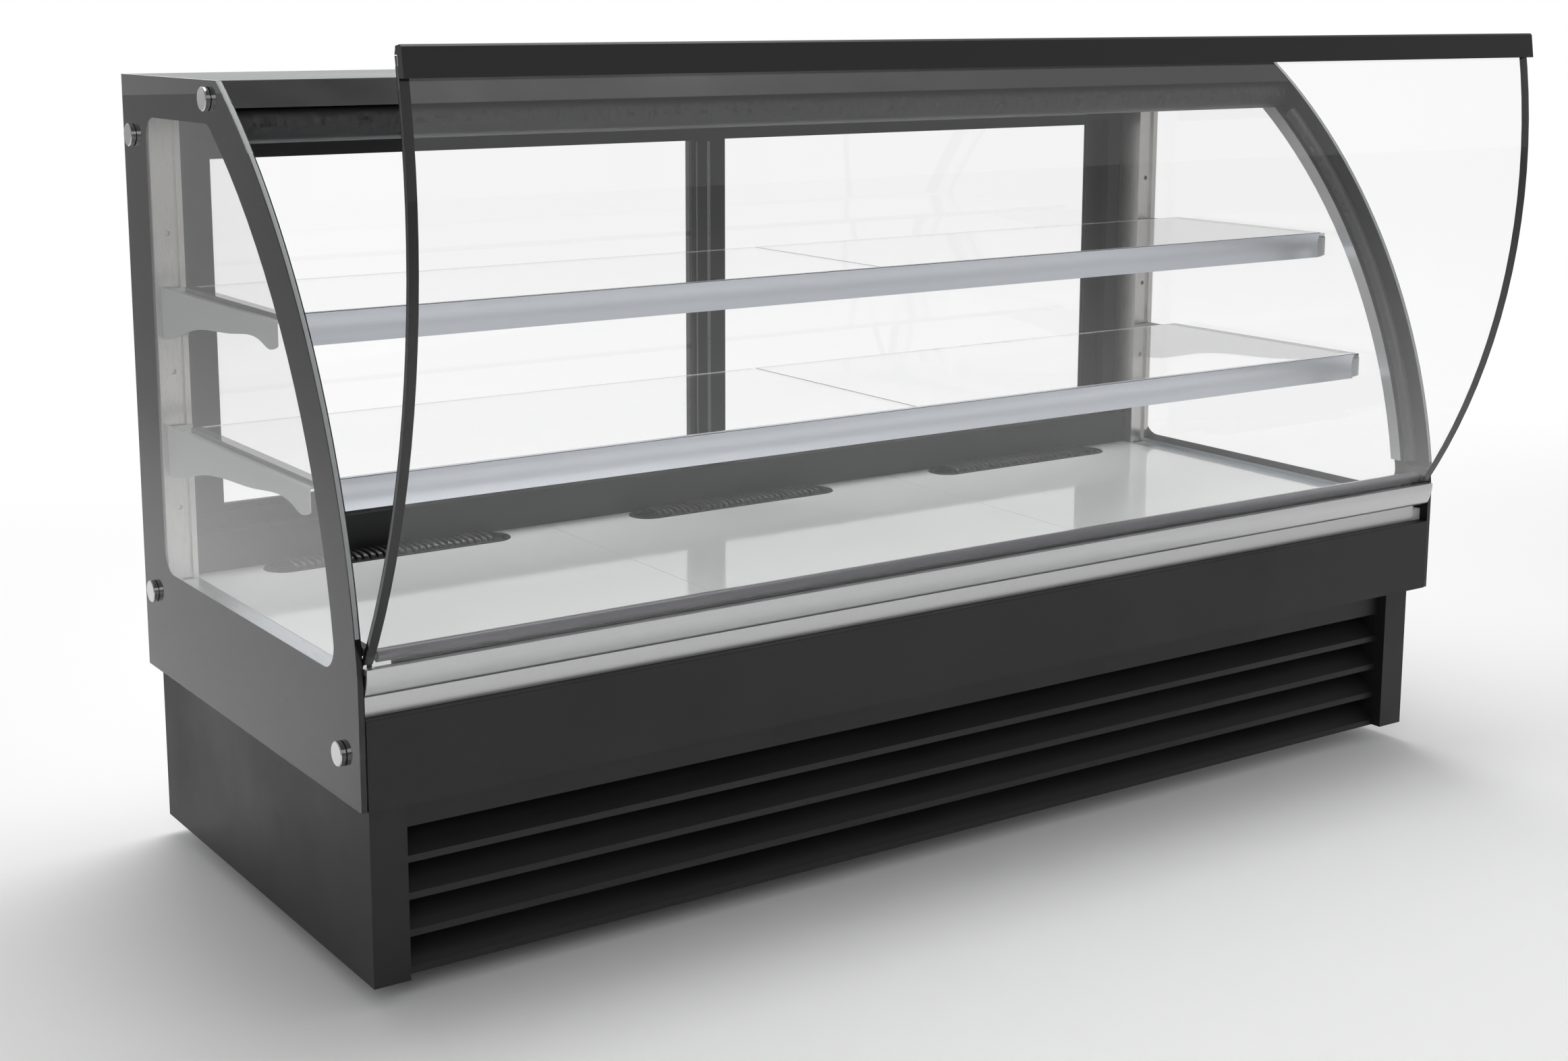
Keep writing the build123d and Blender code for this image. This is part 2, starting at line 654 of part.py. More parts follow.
def bracket(front_y, glass_z):
    top = glass_z - SHELF_T - RAIL_LIP
    y0 = front_y + 13
    y1 = UPRIGHT_Y0 - 0.5
    depth = y1 - y0
    pts = [(y1, top), (y0, top), (y0, top - 32), (y0 + 12, top - 37), (y0 + 30, top - 39), (y0 + 52, top - 33),
           (y0 + 0.35 * depth, top - 34), (y0 + 0.55 * depth, top - 40), (y0 + 0.75 * depth, top - 52),
           (y0 + 0.88 * depth, top - 68), (y1, top - 76)]
    lower = Spline(*pts[2:])
    rest = Polyline(pts[-1], pts[0], pts[1], pts[2])
    plate = prism(make_face([lower, rest]), -BRACKET_X, -BRACKET_X + BRACKET_T)
    flange = box(-BRACKET_X, -BRACKET_X + BRACKET_FLANGE, y0 + 4, SHELF_BACK + 20, top - BRACKET_T, top)
    foot = box(-BRACKET_X, -UPRIGHT_X0, y1 - 2, y1, top - 74, top - 2)
    return plate + flange + foot


def price_rail(front_y, top_z):
    y = front_y
    z = top_z
    h = RAIL_H
    seat = z - SHELF_T - RAIL_LIP
    front = ThreePointArc((y, z), (y + 5.5, z - h * 0.55), (y + 1.5, z - h))
    foot = Line((y + 1.5, z - h), (y + 3.5, z - h))
    back = ThreePointArc((y + 3.5, z - h), (y + 7.5, z - h * 0.6), (y + RAIL_SLOT, seat - 3))
    rest = Polyline((y + RAIL_SLOT, seat - 3), (y + RAIL_SLOT + 9, seat - 3), (y + RAIL_SLOT + 9, seat - SEAT),
                    (y + RAIL_SLOT, seat - SEAT), (y + RAIL_SLOT, z - RAIL_LIP + SEAT),
                    (y + RAIL_SLOT + 6, z - RAIL_LIP + SEAT), (y + RAIL_SLOT + 6, z), (y, z))
    return prism(make_face([front, foot, back, rest]), -RAIL_HALF, RAIL_HALF)


def shelf_pane(front_y, top_z):
    z1 = top_z - RAIL_LIP
    return box(-SHELF_HALF, -1.0, front_y + RAIL_SLOT + SEAT, SHELF_BACK, z1 - SHELF_T, z1)


def front_glass():
    face = band(FRONT_R - FRONT_GLASS_T, FRONT_R, FRONT_GLASS_Z0, FRONT_GLASS_Z1, OPEN_Y, OPEN_Z)
    return prism(face, -FRONT_HALF, FRONT_HALF)


def glass_borders():
    r = FRONT_R - FRONT_GLASS_T
    face = band(r - ENAMEL_T, r - SEAT, FRONT_GLASS_Z0 + 8, FRONT_GLASS_Z1 - 12, OPEN_Y, OPEN_Z)
    strip = prism(face, -FRONT_HALF, -FRONT_HALF + BORDER_W)
    return Compound(children=[strip, mirror(strip, about=Plane.YZ)])


def header_rail():
    a = arc_y(FRONT_GLASS_Z1, FRONT_R, OPEN_Y, OPEN_Z)
    b = arc_y(FRONT_GLASS_Z1, FRONT_R - FRONT_GLASS_T, OPEN_Y, OPEN_Z)
    pts = [(-158.8, 1161.0), (-153.5, 1196.5), (-150.5, 1199.0), (-138.0, 1197.0), (-137.5, 1192.5),
           (b + 0.3, FRONT_GLASS_Z1 + 1), (a - 0.3, FRONT_GLASS_Z1 + 1),
           (arc_y(1161.0, FRONT_R, OPEN_Y, OPEN_Z) - 0.2, 1161.0)]
    curve = Polyline(*pts, close=True)
    rail = prism(make_face(curve), -FRONT_HALF, FRONT_HALF)
    inner = arc_y(1170.0, FRONT_R - FRONT_GLASS_T, OPEN_Y, OPEN_Z)
    hook = poly([(b + 0.3, FRONT_GLASS_Z1 + 1), (-137.5, 1192.5), (-137.6, 1190.0), (inner + 2.5, 1172.0),
                 (inner + 0.4, 1172.0)])
    return rail + prism(hook, -FRONT_HALF, FRONT_HALF)


def header_seal():
    y = arc_y(1172.0, FRONT_R - FRONT_GLASS_T, OPEN_Y, OPEN_Z)
    face = poly([(y + 2.7, 1172.0), (y + 3.6, 1180.0), (y + 12.5, 1176.0), (y + 13.5, 1172.5), (y + 8.0, 1170.5)])
    return prism(face, -FRONT_HALF + 20, FRONT_HALF - 20)


def nose_profile():
    z_in = FRONT_GLASS_Z0
    g_out = arc_y(z_in, FRONT_R, OPEN_Y, OPEN_Z)
    g_in = arc_y(z_in, FRONT_R - FRONT_GLASS_T, OPEN_Y, OPEN_Z)
    skin = ThreePointArc((-7.0, 434.5), (-5.2, 417.0), (0.6, 402.0))
    curl = ThreePointArc((0.6, 402.0), (5.5, 396.6), (12.0, 395.0))
    rest = Polyline((12.0, 395.0), (15.5, 398.5), (g_in + 3, 432.0), (g_in + 0.4, 432.0), (g_in, z_in - 0.2),
                    (g_out, z_in - 0.2), (arc_y(434.5, FRONT_R, OPEN_Y, OPEN_Z) - 0.3, 434.5), (-7.0, 434.5))
    core = poly([(-3.5, 427.0), (-1.5, 413.0), (3.5, 403.0), (9.5, 399.5), (12.0, 427.0)])
    return prism(make_face([skin, curl, rest]), -FRONT_HALF, FRONT_HALF) - prism(core, -FRONT_HALF - 1, FRONT_HALF + 1)


def hinge_arms():
    arms = []
    for s in (-1, 1):
        a = min(s * ARM_X0, s * (ARM_X0 + ARM_T))
        b = max(s * ARM_X0, s * (ARM_X0 + ARM_T))
        g = arc_y(FRONT_GLASS_Z0, FRONT_R - FRONT_GLASS_T, OPEN_Y, OPEN_Z)
        web = poly([(g + 3.1, 431.0), (g + 1.0, 440.0), (HINGE_Y + 1.5, HINGE_Z + BOSS_R - 0.6),
                    (HINGE_Y + BOSS_R, HINGE_Z), (g + 9.0, 428.0), (g + 6.0, 405.0), (g + 2.0, 408.0)])
        arm = prism(web, a, b) + disc_x(a, b, HINGE_Y, HINGE_Z, BOSS_R)
        pin_a = min(s * (ARM_X0 + 1), s * (BODY_HALF - 1.5))
        pin_b = max(s * (ARM_X0 + 1), s * (BODY_HALF - 1.5))
        arms.append(arm + disc_x(pin_a, pin_b, HINGE_Y, HINGE_Z, PIN_R))
    return Compound(children=arms)


def build_parts():
    parts = {}

    def pair_of(name, shape):
        for side, copy_ in both(shape).items():
            parts[name + "_" + side] = copy_

    parts["base_frame"] = base_frame()
    pair_of("base_side", base_side())
    parts["louvre_frame"] = louvre_frame()
    parts["louvre_blades"] = louvre_blades()
    parts["base_rear_grille"] = base_rear_grille()
    parts["levelling_feet"] = levelling_feet()
    parts["compressor"] = compressor()
    parts["condenser_coil"] = condenser_coil()
    parts["fan_shroud"] = fan_shroud()
    parts["condenser_fan"] = rotor(FAN_X, 119.0, 262.0, 296.0, FAN_R, FAN_HUB_R, 5.05, 5)
    parts["drain_pan"] = drain_pan()
    parts["control_plate"] = control_plate()
    parts["insulated_tub"] = insulated_tub()
    parts["front_panel"] = front_panel()
    parts["lower_trim"] = lower_trim()
    parts["front_upstand"] = front_upstand()
    parts["hinge_seal"] = hinge_seal()
    parts["hinge_blocks"] = hinge_blocks()
    parts["deck_panel_left"] = deck_panel(-DECK_HALF, -DECK_SEAM - SEAM_GAP / 2, -VENT_X)
    parts["deck_panel_middle"] = deck_panel(-DECK_SEAM + SEAM_GAP / 2, DECK_SEAM - SEAM_GAP / 2, 0.0)
    parts["deck_panel_right"] = deck_panel(DECK_SEAM + SEAM_GAP / 2, DECK_HALF, VENT_X)
    parts["deck_vents"] = deck_vents()
    parts["deck_side_strips"] = two_of(deck_side_strip())
    parts["rear_wall"] = rear_wall()
    parts["evaporator"] = evaporator()
    parts["evaporator_fan_plate"] = evaporator_fan_plate()
    for name, x in (("left", -EVAP_FAN_X), ("right", EVAP_FAN_X)):
        z = WELL_FLOOR + 48
        parts["evaporator_fan_" + name] = rotor(x, z, 463.0, 479.0, EVAP_FAN_R, 12.0, 3.05, 5)
    pair_of("side_glass", side_glass())
    parts["side_enamel"] = two_of(side_enamel())
    parts["glass_fixings"] = two_of(glass_fixings())
    parts["arch_frames"] = two_of(arch_frame())
    parts["arch_gaskets"] = two_of(arch_gasket())
    parts["top_panel"] = top_panel()
    parts["canopy_beam"] = canopy_beam()
    parts["top_gasket"] = top_gasket()
    parts["lamp_housing"] = lamp_housing()
    parts["lamp_diffuser"] = lamp_diffuser()
    members = rear_frame()
    parts["rear_frame_posts"] = Compound(children=members[:2])
    parts["rear_frame_sill"] = members[2]
    parts["rear_frame_head"] = members[3]
    frame_l, pane_l = door(0)
    frame_r, pane_r = door(1)
    parts["door_left_frame"] = frame_l
    parts["door_left_glass"] = pane_l
    parts["door_right_frame"] = frame_r
    parts["door_right_glass"] = pane_r
    parts["uprights"] = two_of(upright())
    parts["brackets_upper"] = two_of(bracket(UPPER_Y, UPPER_Z))
    parts["brackets_lower"] = two_of(bracket(LOWER_Y, LOWER_Z))
    parts["shelf_upper"] = two_of(shelf_pane(UPPER_Y, UPPER_Z))
    parts["shelf_lower"] = two_of(shelf_pane(LOWER_Y, LOWER_Z))
    parts["rail_upper"] = price_rail(UPPER_Y, UPPER_Z)
    parts["rail_lower"] = price_rail(LOWER_Y, LOWER_Z)
    parts["front_glass"] = front_glass()
    parts["glass_borders"] = glass_borders()
    parts["header_rail"] = header_rail()
    parts["header_seal"] = header_seal()
    parts["nose_profile"] = nose_profile()
    parts["hinge_arms"] = hinge_arms()
    return parts


ASSEMBLY = build_parts()
y_low = min(shape.bounding_box().min.Y for shape in ASSEMBLY.values())
y_high = max(shape.bounding_box().max.Y for shape in ASSEMBLY.values())
SHIFT = Pos(0, -(y_low + y_high) / 2, FOOT_H)
for node, shape in ASSEMBLY.items():
    placed = SHIFT * shape
    placed.label = node
    export_step(placed, "parts/" + node + ".step")
print("nodes", len(ASSEMBLY), "shift y", -(y_low + y_high) / 2)
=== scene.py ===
import math

import bpy
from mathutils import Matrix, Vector, noise


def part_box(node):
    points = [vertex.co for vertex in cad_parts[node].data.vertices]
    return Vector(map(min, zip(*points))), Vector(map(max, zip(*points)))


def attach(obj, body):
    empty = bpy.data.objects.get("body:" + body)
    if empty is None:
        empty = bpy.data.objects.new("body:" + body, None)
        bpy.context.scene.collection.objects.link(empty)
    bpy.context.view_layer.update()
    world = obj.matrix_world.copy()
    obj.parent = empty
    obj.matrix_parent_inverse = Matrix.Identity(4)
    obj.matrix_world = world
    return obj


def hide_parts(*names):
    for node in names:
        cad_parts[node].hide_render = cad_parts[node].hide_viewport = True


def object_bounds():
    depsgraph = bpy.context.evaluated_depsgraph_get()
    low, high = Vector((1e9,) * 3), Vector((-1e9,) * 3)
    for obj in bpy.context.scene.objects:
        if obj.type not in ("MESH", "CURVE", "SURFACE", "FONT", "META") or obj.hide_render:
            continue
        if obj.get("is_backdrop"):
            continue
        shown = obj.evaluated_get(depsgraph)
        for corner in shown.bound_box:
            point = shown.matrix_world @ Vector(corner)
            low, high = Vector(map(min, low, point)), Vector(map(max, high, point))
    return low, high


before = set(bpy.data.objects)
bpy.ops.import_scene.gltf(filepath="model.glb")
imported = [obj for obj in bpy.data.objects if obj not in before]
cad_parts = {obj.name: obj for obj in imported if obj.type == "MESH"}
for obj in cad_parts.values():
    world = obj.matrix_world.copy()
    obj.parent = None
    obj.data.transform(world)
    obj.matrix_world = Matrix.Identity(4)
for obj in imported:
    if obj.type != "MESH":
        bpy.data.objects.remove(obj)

for spare in ("Cube", "Light", "Camera"):
    if spare in bpy.data.objects:
        bpy.data.objects.remove(bpy.data.objects[spare])
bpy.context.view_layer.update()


# Base skins, louvres, rear grille and front panel.
# Folded steel sheet, 1.5 mm, powder coated in a fine satin charcoal that hides
# finger marks. The sheets hang on the welded frame inside.
MM = 0.001
PER_METRE = 1000
DRIFT_SIZE = 312.5
NOISE_MIDDLE = (0.3, 0.7)
EDGE_SEGMENTS = 2
EDGE_LEAST_TURN = 35
# the Mix node's colour sockets share their names with others, so they go by number
COLOUR_A, COLOUR_B, COLOUR_OUT = 6, 7, 2


def linear(hex_colour):
    """An sRGB hex value as a linear colour."""
    parts = [int(hex_colour[i:i + 2], 16) / 255 for i in (1, 3, 5)]
    return [c / 12.92 if c <= 0.04045 else ((c + 0.055) / 1.055) ** 2.4 for c in parts] + [1.0]


def add_node(tree, kind, values, links=None):
    """Adds a node, sets its own properties or its inputs, and links its inputs."""
    made = tree.nodes.new(kind)
    for key, value in values.items():
        if hasattr(made, key):
            setattr(made, key, value)
        else:
            made.inputs[key].default_value = value
    for key, source in (links or {}).items():
        tree.links.new(source, made.inputs[key])
    return made


def own_space(tree):
    """Coordinates in metres that stay with the piece."""
    return add_node(tree, "ShaderNodeTexCoord", {}).outputs["Object"]


def two_tone(tree, factor, first, second):
    """A colour that goes from first to second as the factor goes from 0 to 1."""
    tone = add_node(tree, "ShaderNodeMix", {"data_type": "RGBA"}, {"Factor": factor})
    tone.inputs[COLOUR_A].default_value = linear(first)
    tone.inputs[COLOUR_B].default_value = linear(second)
    return tone.outputs[COLOUR_OUT]


def ramp(tree, value, source, target, interpolation="LINEAR"):
    """Maps the range source of a value onto the range target."""
    mapped = add_node(tree, "ShaderNodeMapRange",
                      {"interpolation_type": interpolation, "From Min": source[0], "From Max": source[1],
                       "To Min": target[0], "To Max": target[1]}, {"Value": value})
    return mapped.outputs["Result"]


def feed(tree, shader, sources):
    """Links sources to a shader's inputs by name."""
    for key, source in sources.items():
        tree.links.new(source, shader.inputs[key])


def new_finish(name):
    """A material with one Principled shader, and its node tree."""
    finish = bpy.data.materials.new(name)
    finish.use_nodes = True
    return finish, finish.node_tree, finish.node_tree.nodes["Principled BSDF"]


def coated(name, colour, shade, roughness, grain, relief, ior=1.5, gloss=0.5):
    """Paint, powder coat, plastic or rubber: a fine grain, and colour that drifts to shade.
    grain is the size of the surface's peel or texture and relief its height, in mm."""
    finish, tree, shader = new_finish(name)
    smoothest, roughest = roughness * 0.85, roughness * 1.15
    place = own_space(tree)
    peel = add_node(tree, "ShaderNodeTexNoise",
                    {"Scale": PER_METRE / grain, "Detail": 3.0, "Roughness": 0.55}, {"Vector": place})
    drift = add_node(tree, "ShaderNodeTexNoise",
                     {"Scale": PER_METRE / DRIFT_SIZE, "Detail": 4.0, "Roughness": 0.6}, {"Vector": place})
    bump = add_node(tree, "ShaderNodeBump", {"Strength": 0.6, "Distance": relief * MM},
                    {"Height": peel.outputs["Fac"]})
    feed(tree, shader, {"Base Color": two_tone(tree, drift.outputs["Fac"], colour, shade),
                        "Roughness": ramp(tree, drift.outputs["Fac"], NOISE_MIDDLE, (smoothest, roughest)),
                        "Normal": bump.outputs["Normal"]})
    shader.inputs["IOR"].default_value = ior
    shader.inputs["Specular IOR Level"].default_value = gloss
    return finish


def finish_node(name, finish, edge=0.0):
    """Gives a CAD node its finish, and rounds its edges by edge mm."""
    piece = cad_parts[name]
    for holder in piece.material_slots:
        holder.material = finish
    if edge:
        rounding = piece.modifiers.new("edge", "BEVEL")
        rounding.width = edge * MM
        rounding.segments = EDGE_SEGMENTS
        rounding.limit_method = "ANGLE"
        rounding.angle_limit = math.radians(EDGE_LEAST_TURN)


CHARCOAL = coated("charcoal_powder_coat", "#101011", "#141415", roughness=0.5, grain=1.6, relief=0.05)
for name in ("base_side_left", "base_side_right", "louvre_frame", "base_rear_grille", "front_panel"):
    finish_node(name, CHARCOAL, edge=0.5)
finish_node("louvre_blades", CHARCOAL, edge=1.5)


# Base frame, fan shroud, drain pan and evaporator fan plate.
# Hot-dip galvanised steel: the zinc freezes in flat crystals a few millimetres
# across, so the grey breaks into patches of different sheen.
ZINC_METALLIC = 0.9


def spangled(name, colour, shade, roughness, crystal):
    """Galvanised steel with zinc crystals of that size in mm."""
    finish, tree, shader = new_finish(name)
    smoothest, roughest = roughness * 0.8, roughness * 1.2
    zinc = add_node(tree, "ShaderNodeTexVoronoi", {"Scale": PER_METRE / crystal}, {"Vector": own_space(tree)})
    split = add_node(tree, "ShaderNodeSeparateColor", {}, {"Color": zinc.outputs["Color"]})
    feed(tree, shader, {"Base Color": two_tone(tree, split.outputs["Red"], colour, shade),
                        "Roughness": ramp(tree, split.outputs["Green"], (0.0, 1.0), (smoothest, roughest))})
    shader.inputs["Metallic"].default_value = ZINC_METALLIC
    return finish


ZINC = spangled("galvanised_steel", "#9fa3a6", "#b6babc", roughness=0.45, crystal=9.0)
for name in ("base_frame", "fan_shroud", "drain_pan", "evaporator_fan_plate"):
    finish_node(name, ZINC, edge=0.4)


# Hinge arms of the front glass. Steel, zinc plated and passivated black, which
# leaves them dark with a faint broken sheen. They turn on pins in the hinge blocks.
BLACK_ZINC = spangled("black_passivated_zinc", "#2b2c2d", "#36373a", roughness=0.5, crystal=5.0)
finish_node("hinge_arms", BLACK_ZINC)


# Levelling feet, fan rotors, control plate and hinge blocks.
# Injection-moulded black nylon, lightly spark-eroded, so it is matt and grey
# where the light grazes it. The feet screw into the frame.
NYLON = coated("black_moulded_nylon", "#161617", "#1d1d1e", roughness=0.55, grain=0.9, relief=0.04, ior=1.53)
for name in ("levelling_feet", "condenser_fan", "evaporator_fan_left", "evaporator_fan_right",
             "control_plate", "hinge_blocks"):
    finish_node(name, NYLON, edge=0.3)


# Compressor. Two drawn steel shells welded at the belt and dipped in black gloss
# enamel, which shows small hard highlights. It stands on rubber feet in the base.
DIPPED = coated("black_dipped_enamel", "#0d0d0e", "#141415", roughness=0.22, grain=5.0, relief=0.06)
finish_node("compressor", DIPPED)


# Condenser and evaporator. Copper tube pressed through thin aluminium fins;
# the fins stand 3 mm apart along the length and show as fine bright lines,
# with painted shade for the dark gaps between them.
FIN_DEPTH = 1.0 * MM


def finned(name, colour, painted_gap_shade, pitch):
    """A block of fins that stand about pitch mm apart along X, with painted shade in the gaps between."""
    finish, tree, shader = new_finish(name)
    bands = PER_METRE / pitch / math.tau * 2
    fins = add_node(tree, "ShaderNodeTexWave", {"bands_direction": "X", "Scale": bands, "Distortion": 0.0},
                    {"Vector": own_space(tree)})
    bump = add_node(tree, "ShaderNodeBump", {"Strength": 0.8, "Distance": FIN_DEPTH},
                    {"Height": fins.outputs["Fac"]})
    # the gap colour is painted shade between the fins
    feed(tree, shader, {"Base Color": two_tone(tree, fins.outputs["Fac"], painted_gap_shade, colour),
                        "Normal": bump.outputs["Normal"]})
    shader.inputs["Metallic"].default_value = 0.85
    shader.inputs["Roughness"].default_value = 0.4
    return finish


# the dark second colour is painted shade in the gaps between the fins
FINS = finned("aluminium_fin_block", "#b9bbbd", "#3b3a39", pitch=3.0)
for name in ("condenser_coil", "evaporator"):
    finish_node(name, FINS)


# Insulated tub. Foam poured between steel skins; the skins are pre-painted white,
# an even satin, and show mostly at the back. Their colour is set pale grey:
# painted shade over the white.
TUB_SKIN = coated("prepainted_white_sheet", "#b9babc", "#c6c7c8", roughness=0.38, grain=3.0, relief=0.03)
finish_node("insulated_tub", TUB_SKIN, edge=0.6)


# Lower trim band, nose profile, lamp housing and arch frames.
# Extruded aluminium, brushed along its length and then clear anodised: bright,
# but the fine lines spread each reflection across the profile.
X, Y, Z = 0, 1, 2
LINE_STRETCH = 150
LINE_RELIEF = 0.02 * MM


def brushed(name, colour, shade, roughness, line, along, metallic=1.0):
    """Metal with brushing lines line mm apart that run along one axis."""
    finish, tree, shader = new_finish(name)
    smoothest, roughest = roughness * 0.85, roughness * 1.2
    stretch = [PER_METRE / line] * 3
    stretch[along] = PER_METRE / (line * LINE_STRETCH)
    lay = add_node(tree, "ShaderNodeMapping", {"Scale": stretch}, {"Vector": own_space(tree)})
    lines = add_node(tree, "ShaderNodeTexNoise", {"Scale": 1.0, "Detail": 2.0}, {"Vector": lay.outputs["Vector"]})
    bump = add_node(tree, "ShaderNodeBump", {"Strength": 0.25, "Distance": LINE_RELIEF},
                    {"Height": lines.outputs["Fac"]})
    feed(tree, shader, {"Base Color": two_tone(tree, lines.outputs["Fac"], shade, colour),
                        "Roughness": ramp(tree, lines.outputs["Fac"], NOISE_MIDDLE, (smoothest, roughest)),
                        "Normal": bump.outputs["Normal"]})
    shader.inputs["Metallic"].default_value = metallic
    return finish


SATIN_ALUMINIUM = brushed("satin_anodised_aluminium", "#d2d2d2", "#c2c2c3", roughness=0.33, line=0.6, along=X)
for name in ("lower_trim", "arch_frames", "lamp_housing"):
    finish_node(name, SATIN_ALUMINIUM, edge=0.3)
finish_node("nose_profile", SATIN_ALUMINIUM)


# Hinge seal. A hollow EPDM tube in warm grey, extruded, with a soft even sheen.
# It lies along the foot of the front glass and closes the gap there.
SEAL_GREY = coated("grey_extruded_epdm", "#4d4b52", "#454349", roughness=0.34, grain=2.0, relief=0.004)
finish_node("hinge_seal", SEAL_GREY)


# Front upstand. Folded stainless steel with a fine brushed finish; only its
# lip shows, as a bright line behind the seal.
STAINLESS = brushed("brushed_stainless_steel", "#dcdcdd", "#cbcccd", roughness=0.25, line=0.4, along=X)
finish_node("front_upstand", STAINLESS, edge=0.3)


# Deck panels. Three lift-out steel trays in white gloss powder coat, smooth
# enough to mirror the shelves and the back wall softly.
DECK_WHITE = coated("white_gloss_powder_coat", "#f2f2f2", "#ebebec", roughness=0.07, grain=9.0, relief=0.004)
for name in ("deck_panel_left", "deck_panel_middle", "deck_panel_right"):
    finish_node(name, DECK_WHITE, edge=0.6)


# Deck side strips. Clear anodised aluminium trays that close the deck against
# the side glass; the anodising gives them a cool blue-grey cast.
COOL_ALUMINIUM = brushed("cool_anodised_aluminium", "#c3c8ce", "#b6bbc2", roughness=0.3, line=0.5, along=Y)
finish_node("deck_side_strips", COOL_ALUMINIUM, edge=0.4)


# Deck vents. Black moulded grilles, satin, with a row of rounded hoops across the
# slot, which keep packs off the air outlet. They drop into the oval cut-outs.
VENT_PLASTIC = coated("black_vent_abs", "#0b0b0c", "#101011", roughness=0.38, grain=1.2, relief=0.03, ior=1.52)
SHARP_EDGE = 40
VENT_CENTRES = (-0.642, 0.0, 0.642)
VENT_PITCH = 12 * MM
VENT_LENGTH = 402 * MM
HOOP_HALF_WIDTH = 4.3 * MM
HOOP_HALF_HEIGHT = 2.4 * MM
HOOP_RISE = 10.0 * MM
HOOP_SLOPE_RISE = 9 * MM
HOOP_INSET = 6 * MM
HOOP_SUNK = 3 * MM
HOOP_SHOULDER = 0.55
HOOP_CROWN = 0.5
HOOP_STEPS = 14
HOOP_SIDES = 8
NEVER_ZERO = 1e-6
OVAL_STEPS = 72
OVAL_END_INSET = 4 * MM
# the flange's section: how far in from the rim, and how high over the deck, in mm
FLANGE = ((0, 0.0), (1, 1.6), (4.5, 2.0), (9, 0.6), (9, -5.0), (7, -5.0), (5, 0.0))
# a black sheet under the hoops, painted shade for the open outlet: its inset from the rim and its depth under the
# deck
VENT_SHADE_SHEET_INSET = 8 * MM
VENT_SHADE_SHEET_DEPTH = 4.5 * MM

vent_low, vent_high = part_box("deck_vents")
vent_y = (vent_low.y + vent_high.y) / 2
vent_half = (vent_high.y - vent_low.y) / 2
vent_straight = VENT_LENGTH / 2 - (vent_half - OVAL_END_INSET)
deck_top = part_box("deck_panel_left")[1].z


def skin(name, points, faces, finish, body):
    """A mesh piece from points and faces, smooth but for its sharp edges, that rides on a body."""
    mesh = bpy.data.meshes.new(name)
    mesh.from_pydata([tuple(p) for p in points], [], faces)
    mesh.validate()
    mesh.polygons.foreach_set("use_smooth", [True] * len(mesh.polygons))
    mesh.set_sharp_from_angle(angle=math.radians(SHARP_EDGE))
    mesh.materials.append(finish)
    piece = bpy.data.objects.new(name, mesh)
    bpy.context.scene.collection.objects.link(piece)
    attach(piece, body)
    return piece


def tube_faces(start, count, rings):
    """Faces over rings of count points each, numbered from start, with a cap at both ends."""
    faces = []
    for i in range(rings - 1):
        near, far = start + i * count, start + (i + 1) * count
        for k in range(count):
            n = (k + 1) % count
            faces.append((near + k, near + n, far + n, far + k))
    faces.append(tuple(start + k for k in reversed(range(count))))
    faces.append(tuple(start + (rings - 1) * count + k for k in range(count)))
    return faces


def hoop_points(x):
    """A rounded bar that rises from one side of the slot, crosses it and goes down again."""
    points = []
    spread = vent_half - HOOP_INSET
    for i in range(HOOP_STEPS + 1):
        turn = math.pi * i / HOOP_STEPS
        side = 1 if turn < math.pi / 2 else -1
        y = vent_y - spread * (abs(math.cos(turn)) ** HOOP_SHOULDER) * side
        z = deck_top - HOOP_SUNK + HOOP_RISE * max(0.0, math.sin(turn)) ** HOOP_CROWN
        slope = math.atan2(math.cos(turn) * HOOP_SLOPE_RISE, spread * math.sin(turn) + NEVER_ZERO)
        for k in range(HOOP_SIDES):
            a = math.tau * k / HOOP_SIDES
            lift = HOOP_HALF_HEIGHT * math.sin(a)
            points.append((x + HOOP_HALF_WIDTH * math.cos(a), y - lift * math.sin(slope),
                           z + lift * math.cos(slope)))
    return points


def oval_point(centre, step, reach, z):
    """A point of the vent's oval, reach out from the middle of its round end."""
    a = math.tau * step / OVAL_STEPS
    end = vent_straight if math.cos(a) > 0 else -vent_straight
    return centre + end + reach * math.cos(a), vent_y + reach * math.sin(a), z


for index, centre in enumerate(VENT_CENTRES):
    points = []
    faces = []
    hoops = int((VENT_LENGTH - 2 * vent_half) / VENT_PITCH) + 1
    for hoop in range(hoops):
        faces += tube_faces(len(points), HOOP_SIDES, HOOP_STEPS + 1)
        points += hoop_points(centre + (hoop - (hoops - 1) / 2) * VENT_PITCH)
    # the flange laps over the slot's edge with a rounded top
    start = len(points)
    count = len(FLANGE)
    for i in range(OVAL_STEPS):
        points += [oval_point(centre, i, vent_half - inset * MM, deck_top + height * MM)
                   for inset, height in FLANGE]
        near, far = start + i * count, start + (i + 1) % OVAL_STEPS * count
        for k in range(count):
            n = (k + 1) % count
            faces.append((near + k, far + k, far + n, near + n))
    # a black sheet closes the slot under the hoops: painted shade for the dark open outlet below
    start = len(points)
    points += [oval_point(centre, i, vent_half - VENT_SHADE_SHEET_INSET, deck_top - VENT_SHADE_SHEET_DEPTH)
               for i in range(OVAL_STEPS)]
    faces.append(tuple(start + i for i in range(OVAL_STEPS)))
    grille = skin("deck_vent_%d" % (index + 1), points, faces, VENT_PLASTIC, "case")
    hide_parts("deck_vents")


# Rear wall, rear door frame, door frames and header rail.
# Extruded aluminium, anodised black: dark, with a faint metallic grey sheen
# where the light grazes it. The doors run in two grooves.
BLACK_ANODISED = brushed("black_anodised_aluminium", "#333334", "#2b2b2c", roughness=0.42, line=0.6, along=X,
                         metallic=0.6)
for name in ("rear_wall", "rear_frame_posts", "rear_frame_sill", "rear_frame_head", "door_left_frame",
             "door_right_frame"):
    finish_node(name, BLACK_ANODISED, edge=0.5)
finish_node("header_rail", BLACK_ANODISED)


